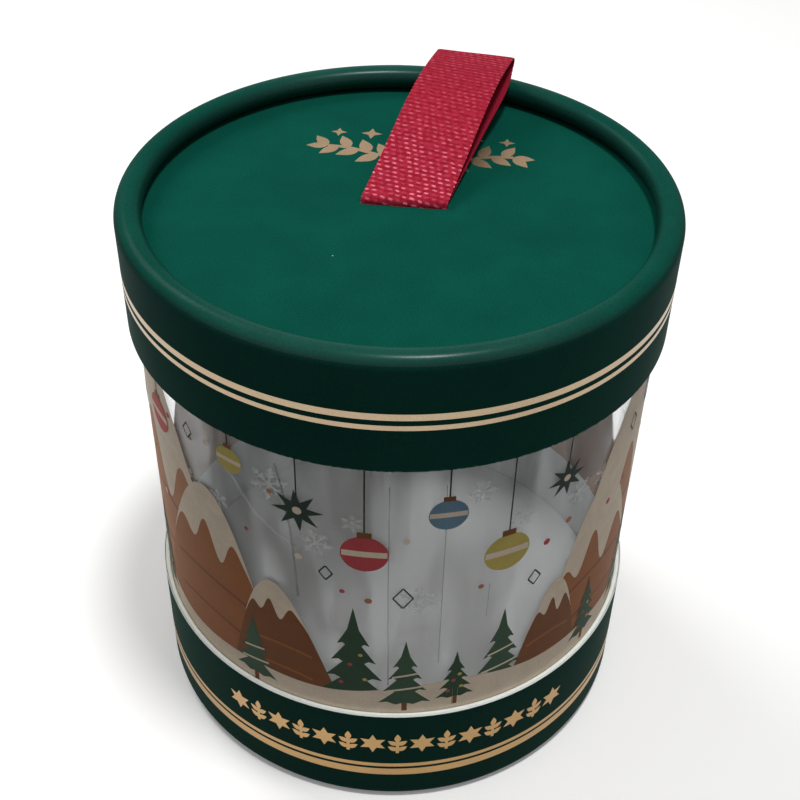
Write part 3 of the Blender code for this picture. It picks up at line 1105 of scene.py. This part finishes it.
def print_ground():
    """The snowy ground: a strip with a rolling top edge."""
    snow = [(PRINT_EDGE, PRINT_FOOT)]
    for i in range(GROUND_STEPS + 1):
        x = PRINT_EDGE * (1 - 2 * i / GROUND_STEPS)
        swell = sum(height * math.sin(x * wave + start) for height, wave, start in GROUND_SWELLS)
        snow.append((x, GROUND_LEVEL + swell))
    snow.append((-PRINT_EDGE, PRINT_FOOT))
    return in_ink([snow], "cream", GROUND_LAYER)


def print_hills():
    """Brown hills, each with snow on its top and two bands across it."""
    patches = []
    for middle, half, top, lean, colour, cover in HILLS:
        layer = HILL_LAYERS[colour]
        cap = hill_cap(middle, half, top, lean, cover)
        patches += in_ink([hill(middle, half, top, lean)], colour, layer)
        patches += in_ink([cap], "cream", layer + CAP_OVER_HILL)
        band_colour = "rust" if colour == "umber" else "umber"
        radius = half * 1.6
        for share in BAND_SHARES:
            y = PRINT_FOOT + (top - PRINT_FOOT) * share - radius
            band = arc_band(middle + lean * 0.5, y, radius, BAND_WIDTH, 1.25, 1.9, BAND_STEPS)
            patches += in_ink(band, band_colour, layer + BAND_OVER_HILL)
    return patches


def print_conifers():
    """Conifers on short trunks: the firs carry berries and the pines cream ropes."""
    patches = []
    for x, foot, wide, tall, colour, layer in CONIFERS:
        trunk = stroke(x, foot - TRUNK_BELOW_FOOT, 0, TRUNK_HEIGHT, TRUNK_WIDTH)
        patches += in_ink([trunk], "umber", layer - TRUNK_UNDER_TREE)
        for i, tier in enumerate(conifer(x, foot, wide, tall)):
            patches += in_ink([tier], colour, layer + TIER_OVER_TIER * i)
        if colour == "fir":
            for i, (dx, dy) in enumerate(BERRY_PLACES):
                berry = ellipse(x + wide * dx, foot + tall * dy, BERRY_SIZE, BERRY_SIZE, 10)
                patches += in_ink([berry], ("red", "yellow")[i % 2], layer + TRIM_OVER_TREE)
        else:
            for share in ROPE_SHARES:
                half = wide * 0.5 * (1 - share * 0.95)
                y = foot + tall * share
                rope = stroke(x - half * 0.8, y, half * 1.6, tall * 0.06, ROPE_WIDTH)
                patches += in_ink([rope], "cream", layer + TRIM_OVER_TREE)
    return patches


def print_hanging():
    """Striped baubles and eight-pointed stars on strings from the top."""
    patches = []
    for x, drop, size, colour, kind in HANGING:
        knot = drop + size * 0.4
        string = stroke(x, knot, 0, SHEET_HIGH.z - STRING_MARGIN - knot, STRING_WIDTH)
        patches += in_ink([string], "dark", STRING_LAYER)
        if kind == "star":
            centre = ellipse(x, drop, size * 0.22, size * 0.22, 14)
            patches += in_ink([star(x, drop, size * 0.62, 0.42, 8, 0.1)], colour, BAUBLE_LAYER)
            patches += in_ink([centre], "cream", DETAIL_LAYER)
        else:
            stripe = stroke(x - size * 0.47, drop, size * 0.94, 0, size * 0.16)
            holder = stroke(x, drop + size * 0.46, 0, size * 0.16, size * 0.3)
            patches += in_ink([ellipse(x, drop, size, size)], colour, BAUBLE_LAYER)
            patches += in_ink([stripe], "cream", DETAIL_LAYER)
            patches += in_ink([holder], "umber", DETAIL_LAYER)
    return patches


def print_diamonds():
    """Small diamonds in outline."""
    patches = []
    for x, y, reach in DIAMONDS:
        aside = reach * DIAMOND_SLIMNESS
        corners = [(x, y + reach), (x - aside, y), (x, y - reach), (x + aside, y)]
        for (ax, ay), (bx, by) in zip(corners, corners[1:] + corners[:1]):
            side = stroke(ax, ay, bx - ax, by - ay, DIAMOND_LINE)
            patches += in_ink([side], "dark", DIAMOND_LAYER)
    return patches


def scattered(chance, count, stray):
    """Places from left to right across the print, each a little off its even place."""
    for i in range(count):
        yield -PRINT_EDGE + 2 * PRINT_EDGE * (i + 0.5) / count + chance.uniform(-stray, stray)


def print_dots(chance):
    """Small dots among what hangs in the sky."""
    patches = []
    for i, x in enumerate(scattered(chance, DOT_COUNT, DOT_STRAY)):
        y = chance.uniform(0.07, 0.108)
        size = chance.uniform(0.0011, 0.0019)
        dot = ellipse(x, y, size, size, 12)
        patches += in_ink([dot], ("red", "orange", "cream")[i % 3], DOT_LAYER)
    return patches


def print_snowflakes(chance):
    """Snowflakes for the thin white ink."""
    patches = []
    for x in scattered(chance, FLAKE_COUNT, FLAKE_STRAY):
        y = chance.uniform(0.062, 0.107)
        reach = chance.uniform(0.0026, 0.0056)
        bars = snowflake(x, y, reach, reach * FLAKE_ARM_SHARE, chance.uniform(0, 1))
        patches += [(bar, 0, FLAKE_LAYER) for bar in bars]
    return patches


def winter_print(finishes):
    """The sheet's print, one piece for each of its subjects."""
    inks = [finishes["ink_" + name] for name in PRINT_INKS]
    chance = random.Random(SCATTER_SEED)
    sky = print_hanging() + print_diamonds() + print_dots(chance)
    for name, patches, colours in (
        ("print_snowy_ground", print_ground(), inks),
        ("print_hills", print_hills(), inks),
        ("print_conifers", print_conifers(), inks),
        ("print_baubles_and_stars", sky, inks),
        ("print_snowflakes", print_snowflakes(chance), (finishes["veil_white"],)),
    ):
        piece = decal(name, patches, colours, on_sheet)
        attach(piece, "base")


def base_ornaments(finishes):
    """A row of stamped stars and sprigs along the front of the base."""
    level = BASE_ROW_LEVEL
    patches = []
    for i in range(BASE_STARS):
        x = BASE_ROW_MIDDLE + (i - (BASE_STARS - 1) / 2) * BASE_ROW_PITCH
        patches.append((star(x, level, 0.0035, 0.52, 6), 0, 0.0))
        if i == BASE_STARS - 1:
            continue
        stem = x + BASE_ROW_PITCH / 2
        patches.append((stroke(stem, level - 0.0036, 0, 0.0062, 0.0008), 0, 0.0))
        patches.append((leaf(stem, level + 0.0008, math.pi / 2, 0.0032, 0.0016), 0, 0.2))
        for rise in (-0.0026, -0.0004):
            for angle in (math.radians(36), math.radians(144)):
                patches.append((leaf(stem, level + rise, angle, 0.0029, 0.0016), 0, 0.3))
    piece = decal("base_foil_ornaments", patches, (finishes["base_foil"],), on_base)
    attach(piece, "base")


def disc_ornament(finishes):
    """A stamped spray on the lid's disc: two leafy stems spreading from a star."""
    middle, level, step = 0.0021, 0.0225, 0.0026
    patches = [(star(middle, level + 0.005, 0.0062, 0.42, 8), 0, 0.4)]
    for side in (-1, 1):
        x, y, heading = middle + side * 0.0046, level, math.radians(90 - side * 80)
        for i in range(7):
            dx, dy = step * math.cos(heading), step * math.sin(heading)
            patches.append((stroke(x, y, dx, dy, 0.0012), 0, 0.0))
            x += dx
            y += dy
            for turn in (-1, 1):
                if i % 2 == (turn > 0):
                    angle = heading + turn * math.radians(52)
                    size = 0.0068 - 0.0002 * i
                    patches.append((leaf(x, y, angle, size, size * 0.5), 0, 0.2))
            heading += side * math.radians(4 if i < 3 else -7)
        patches.append((leaf(x, y, heading, 0.0052, 0.0027), 0, 0.6))
        for dx, dy, size in ((0.0125, 0.0112, 0.0026), (0.0205, 0.011, 0.002)):
            patches.append((star(middle + side * dx, level + dy, size, 0.42, 4), 0, 0.0))
    piece = decal("lid_foil_ornament", patches, (finishes["disc_foil"],), on_disc, wraps=False)
    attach(piece, "lid")


def ribbon_route():
    """The ribbon's middle line from one glued end to the other.

    Returns (middle, direction across, tilt) rows: tilt is how far a row's right end is ahead of
    its middle along the ribbon, as a share of the distance across.
    """
    joint = frame["joints"][1]
    hinge = Vector(joint["pos_m"])
    slot_along = Vector(joint["axis"])
    slot_across = UP.cross(slot_along)
    lean = slot_across * math.cos(RIBBON_LEAN) + UP * math.sin(RIBBON_LEAN)
    along = lean * math.cos(RIBBON_SKEW) + slot_along * math.sin(RIBBON_SKEW)
    across = slot_along * math.cos(RIBBON_SKEW) - lean * math.sin(RIBBON_SKEW)
    outward = across.cross(along)
    root_tilt = math.tan(RIBBON_SKEW)
    straight = LID_RADIUS - ROLL_RADIUS - hinge.y - FOLD_RADIUS
    level = TAIL_BOTTOM + RIBBON_THICKNESS / 2
    root = Vector((hinge.x, hinge.y, 0))
    ahead = slot_along * math.sin(RIBBON_SKEW)
    front_height = PLY_STEP / 2

    def slot_row(distance, height, side, lead=0.0):
        middle = root + slot_across * distance + UP * height + ahead * lead
        return (middle, slot_along / math.cos(RIBBON_SKEW), side * root_tilt)

    def loop_row(distance, height, shift, share, side):
        tilt = root_tilt + (FOLD_TILT_SHARE - root_tilt) * share
        middle = hinge + along * distance + outward * height + across * shift
        return (middle, across + along * tilt, side * tilt)

    def tail(side):
        """From a glued end to where it turns up into the slot, front (1) or back (-1)."""
        places = [(-PLY_STEP / 2 - TAIL_REACH, level)]
        for i in range(BEND_STEPS + 1):
            turn = math.pi / 2 * i / BEND_STEPS
            in_from_slot = TAIL_BEND * (1 - math.sin(turn))
            places.append((-PLY_STEP / 2 - in_from_slot, level + TAIL_BEND * (1 - math.cos(turn))))
        return [slot_row(side * distance, height, side) for distance, height in places]

    def root_bend(radius, side):
        """From straight up out of the slot to the ply's own lean. Also gives where it ends."""
        start = -side * PLY_STEP / 2
        turned_by = math.pi / 2 - RIBBON_LEAN
        reach = start + radius * (1 - math.cos(turned_by))
        ply = hinge.z + side * front_height / math.cos(RIBBON_LEAN) + reach * math.tan(RIBBON_LEAN)
        lift = ply - radius * math.sin(turned_by)
        made = []
        for i in range(BEND_STEPS + 1):
            turn = turned_by * i / BEND_STEPS
            run = radius * (1 - math.cos(turn))
            made.append(slot_row(start + run, lift + radius * math.sin(turn), side, run))
        return made, reach / math.cos(RIBBON_LEAN)

    front, front_start = root_bend(FRONT_ROOT_BEND, 1)
    back, back_start = root_bend(BACK_ROOT_BEND, -1)
    front_start += FRONT_ROOT_BEND
    back_start += BACK_ROOT_BEND
    loop = []
    for i in range(PLY_STEPS + 1):
        share = i / PLY_STEPS
        distance = front_start + (straight - front_start) * share
        belly = FRONT_PLY_BELLY * math.sin(math.pi * share**FRONT_BELLY_POWER)
        loop.append(loop_row(distance, front_height + belly, 0.0, share, 1))
    for i in range(1, FOLD_STEPS):
        turn = math.pi * i / FOLD_STEPS
        distance = straight + FOLD_RADIUS * math.sin(turn)
        height = front_height - FOLD_RADIUS * (1 - math.cos(turn))
        loop.append(loop_row(distance, height, 0.0, 1.0, math.cos(turn)))
    for i in range(PLY_STEPS + 1):
        share = 1 - i / PLY_STEPS
        distance = back_start + (straight - back_start) * share
        opening = PLY_STEP + (2 * FOLD_RADIUS - PLY_STEP) * share
        drop = opening + BACK_PLY_SAG * math.sin(math.pi * share)
        shift = BACK_PLY_SHIFT * math.sin(math.pi * share**BACK_SHIFT_POWER)
        loop.append(loop_row(distance, front_height - drop, shift, share, -1))
    return tail(1) + front + soften(loop) + back[::-1] + tail(-1)[::-1]


def soften(rows, passes=6):
    """Rounds the places where one stretch of the loop turns into the next."""
    for _ in range(passes):
        eased = [rows[0]]
        for before, row, after in zip(rows, rows[1:], rows[2:]):
            middle = row[0] * 0.5 + (before[0] + after[0]) * 0.25
            eased.append((middle, row[1], row[2]))
        rows = eased + [rows[-1]]
    return rows


def resample(rows, spacing):
    """Even rows along the route, with the distance run at each."""
    lengths = [0.0]
    for (near, _, _), (far, _, _) in zip(rows, rows[1:]):
        lengths.append(lengths[-1] + (far - near).length)
    total = lengths[-1]
    count = round(total / spacing)
    made, j = [], 0
    for i in range(count + 1):
        run = total * i / count
        while j < len(lengths) - 2 and lengths[j + 1] < run:
            j += 1
        share = (run - lengths[j]) / max(1e-9, lengths[j + 1] - lengths[j])
        share = min(1.0, share)
        (a, ha, ta), (b, hb, tb) = rows[j], rows[j + 1]
        made.append((a.lerp(b, share), ha.lerp(hb, share), ta + (tb - ta) * share, run))
    return made, total


def ribbon_piece(finishes):
    """The whole ribbon as one woven strip with raised ribs."""
    rows, total = resample(ribbon_route(), RIB_PITCH / ROWS_IN_A_RIB)
    shape = bmesh.new()
    uv = shape.loops.layers.uv.new("weave")
    places = {}
    grid = {1: [], -1: []}
    for i, (middle, half, tilt, run) in enumerate(rows):
        before = rows[max(0, i - 1)][0]
        after = rows[min(len(rows) - 1, i + 1)][0]
        normal = half.cross(after - before).normalized()
        for side in (1, -1):
            line = []
            for j in range(RIBBON_COLUMNS + 1):
                share = 2 * j / RIBBON_COLUMNS - 1
                sideways = RIBBON_WIDTH / 2 * share
                woven = run + tilt * sideways
                for wave, drift in RIB_WAVES:
                    woven += RIB_WANDER * math.sin(wave * sideways + drift * run) / 2
                rib = math.cos(math.tau * woven / RIB_PITCH)
                edge = max(0.0, abs(share) - SELVEDGE_FROM) / SELVEDGE_SHARE
                thick = RIBBON_THICKNESS / 2 - RIB_HEIGHT + RIB_HEIGHT * rib * (1 - edge)
                thick *= 1 - 0.55 * edge * edge
                out = sideways * (1 + 0.004 * rib * edge)
                corner = shape.verts.new(middle + half * out + normal * (side * thick))
                places[corner] = (sideways + RIBBON_WIDTH / 2, woven)
                line.append(corner)
            grid[side].append(line)
    for i in range(len(rows) - 1):
        for side in (1, -1):
            near, far = grid[side][i], grid[side][i + 1]
            for j in range(RIBBON_COLUMNS):
                shape.faces.new((near[j], near[j + 1], far[j + 1], far[j]))
        for j in (0, RIBBON_COLUMNS):
            shape.faces.new((grid[1][i][j], grid[1][i + 1][j], grid[-1][i + 1][j], grid[-1][i][j]))
    for i in (0, len(rows) - 1):
        for j in range(RIBBON_COLUMNS):
            shape.faces.new((grid[1][i][j], grid[1][i][j + 1], grid[-1][i][j + 1], grid[-1][i][j]))
    bmesh.ops.recalc_face_normals(shape, faces=shape.faces)
    for face in shape.faces:
        for loop in face.loops:
            loop[uv].uv = places[loop.vert]
    ribbon = place_mesh("grosgrain_ribbon", shape, (finishes["ribbon"],))
    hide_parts("ribbon_loop", "ribbon_front_tail", "ribbon_back_tail")
    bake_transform(ribbon)


def make_finishes():
    """Every finish of the box, by the name its pieces ask for."""
    groups = {
        "paper_grain": paper_grain_group(),
        "rubbed_edge": rubbed_edge_group(),
        "dust": dust_group(),
        "grosgrain_weave": weave_group(),
    }
    roll_middle = LID_TOP - ROLL_RADIUS * ROLL_FLATNESS_SHARE
    # The lid's roll is painted in the walls' darker green below its top: painted shade.
    lid_roll_shade = (LID_WALL_SHADED, roll_middle + 0.0011, roll_middle + 0.0023)
    finishes = {
        # The walls and the base's roll take the walls' darker green: painted shade.
        "lid_wrap": green_paper("lid_wrap_paper", LID_WALL_SHADED, groups, LID_EDGE, 0.55, 0.01),
        "lid_roll": green_paper(
            "lid_roll_paper", LID_ROLL, groups, LID_EDGE, 0.4, 0.001, lid_roll_shade, RIM_POLISH
        ),
        "base_wrap": green_paper("base_wrap_paper", BASE_WALL_SHADED, groups, BASE_EDGE, 0.55, 0.01),
        "base_roll": green_paper("base_roll_paper", BASE_WALL_SHADED, groups, BASE_EDGE, 0.45, 0.012),
        "facing": green_paper("disc_facing_paper", (0.0032, 0.069, 0.048), groups, 0.0, 0.6, 0.003),
        "lid_board": white_board("lid_raw_board", (0.74, 0.75, 0.72), groups, LID_EDGE),
        # The base's cut edge is painted brighter than the other raw board, as painted light on an
        # edge the lid shades.
        "base_board": white_board("base_board_painted_brighter", (0.93, 0.97, 0.92), groups, BASE_EDGE),
        "side_board": white_board("side_raw_board", (0.76, 0.77, 0.76), groups, 0.0),
        "disc_board": white_board("disc_raw_board", (0.72, 0.72, 0.69), groups, 0.0),
        # The lining is white paper, painted a mid grey as painted shade for the inside of the
        # closed box.
        "lining_in_painted_shade": white_board("lining_paper_painted_grey", (0.5, 0.505, 0.5), groups, 0.0),
        "lid_foil": foil("lid_gold_foil", (0.5, 0.38, 0.25), groups, 0.3),
        "base_foil": foil("base_gold_foil", (0.5, 0.31, 0.13), groups, 0.34),
        "disc_foil": foil("disc_gold_foil", (0.36, 0.25, 0.15), groups, 0.45),
        "film": clear_film(),
        "haze": haze_and_reflections_finish(),
        # Crease strokes: painted shade and painted glint.
        "crease_dark": veil_ink("crease_shade", (0.12, 0.12, 0.11), 0.35, groups),
        "crease_light": veil_ink("crease_glint", (0.9, 0.92, 0.92), 0.22, groups),
        "ribbon": red_weave(groups),
        "veil_white": veil_ink("veil_white_ink", (0.85, 0.87, 0.86), 0.45, groups),
    }
    for name, colour in PRINT_INKS.items():
        finishes["ink_" + name] = ink(name + "_ink", colour, groups)
    return finishes


def dress_solids(finishes):
    """Finishes for the solids that keep their own shape."""
    for node, finish in (
        ("lid_disc_facing", "facing"),
        ("lid_disc_board", "disc_board"),
        ("lid_disc_lining", "lining_in_painted_shade"),
        ("base_disc_board", "disc_board"),
        ("base_floor_lining", "lining_in_painted_shade"),
        ("base_underside_paper", "facing"),
    ):
        mesh = frame["nodes"][node].data
        mesh.materials.clear()
        mesh.materials.append(finishes[finish])


def studio_rays(tree):
    """1 for rays that look at a surface or through it, 0 for rays that only carry light."""
    rays = add(tree, "ShaderNodeLightPath")
    seen = calculate(tree, "MAXIMUM", rays.outputs["Is Camera Ray"], rays.outputs["Is Glossy Ray"])
    return calculate(tree, "MAXIMUM", seen, rays.outputs["Is Transmission Ray"])


def studio():
    """A pale floor, soft lamps and a pale surround."""
    material, tree, shader = finish_material("pale_floor", 0.9, specular=0.1)
    place = object_place(tree)
    tone = noise(tree, place, 3.0)
    pale = blend_colours(tree, tone, (0.975, 0.975, 0.97), (0.995, 0.995, 0.99))
    seen = studio_rays(tree)
    tree.links.new(blend_colours(tree, seen, FLOOR_BOUNCE, pale), shader.inputs["Base Color"])
    lift = blend_colours(tree, seen, (0.0, 0.0, 0.0), (FLOOR_LIFT, FLOOR_LIFT, FLOOR_LIFT))
    tree.links.new(lift, shader.inputs["Emission Color"])
    shader.inputs["Emission Strength"].default_value = 1.0
    shape = bmesh.new()
    bmesh.ops.create_grid(shape, x_segments=8, y_segments=8, size=4.0)
    floor = place_mesh("studio_floor", shape, (material,))

    for name, place, size, power in STUDIO_LAMPS:
        data = bpy.data.lights.new(name, "AREA")
        data.shape = "DISK"
        data.size = size
        data.energy = power
        lamp = bpy.data.objects.new(name, data)
        lamp.location = place
        aim = Vector((0, 0, LID_TOP / 2)) - Vector(place)
        lamp.rotation_euler = aim.to_track_quat("-Z", "Y").to_euler()
        bpy.context.scene.collection.objects.link(lamp)

    world = bpy.data.worlds.new("pale_surround")
    bpy.context.scene.world = world
    world.use_nodes = True
    tree = world.node_tree
    background = tree.nodes["Background"]
    background.inputs["Color"].default_value = (1.0, 1.0, 1.0, 1.0)
    seen = studio_rays(tree)
    strength = calculate(tree, "MULTIPLY_ADD", seen, 1 - SURROUND_LIGHT, SURROUND_LIGHT)
    tree.links.new(strength, background.inputs["Strength"])


def camera():
    """The camera at the photograph's viewing angle."""
    data = bpy.data.cameras.new("camera")
    data.lens = CAMERA_LENS
    data.sensor_width = CAMERA_SENSOR
    made = bpy.data.objects.new("camera", data)
    turn = Matrix.Rotation(-CAMERA_YAW, 4, "Z")
    turn = turn @ Matrix.Rotation(math.pi / 2 - CAMERA_PITCH, 4, "X")
    turn = turn @ Matrix.Rotation(-CAMERA_ROLL, 4, "Z")
    made.matrix_world = Matrix.Translation(CAMERA_PLACE) @ turn
    bpy.context.scene.collection.objects.link(made)
    bpy.context.scene.camera = made
    bpy.context.scene.view_settings.view_transform = "Standard"


camera()
studio()
FINISHES = make_finishes()
dress_solids(FINISHES)
side_pieces(FINISHES)
window_tube(FINISHES)
film_haze_and_reflections(FINISHES)
foil_lines(FINISHES)
base_ornaments(FINISHES)
disc_ornament(FINISHES)
winter_print(FINISHES)
ribbon_piece(FINISHES)

bpy.context.view_layer.update()
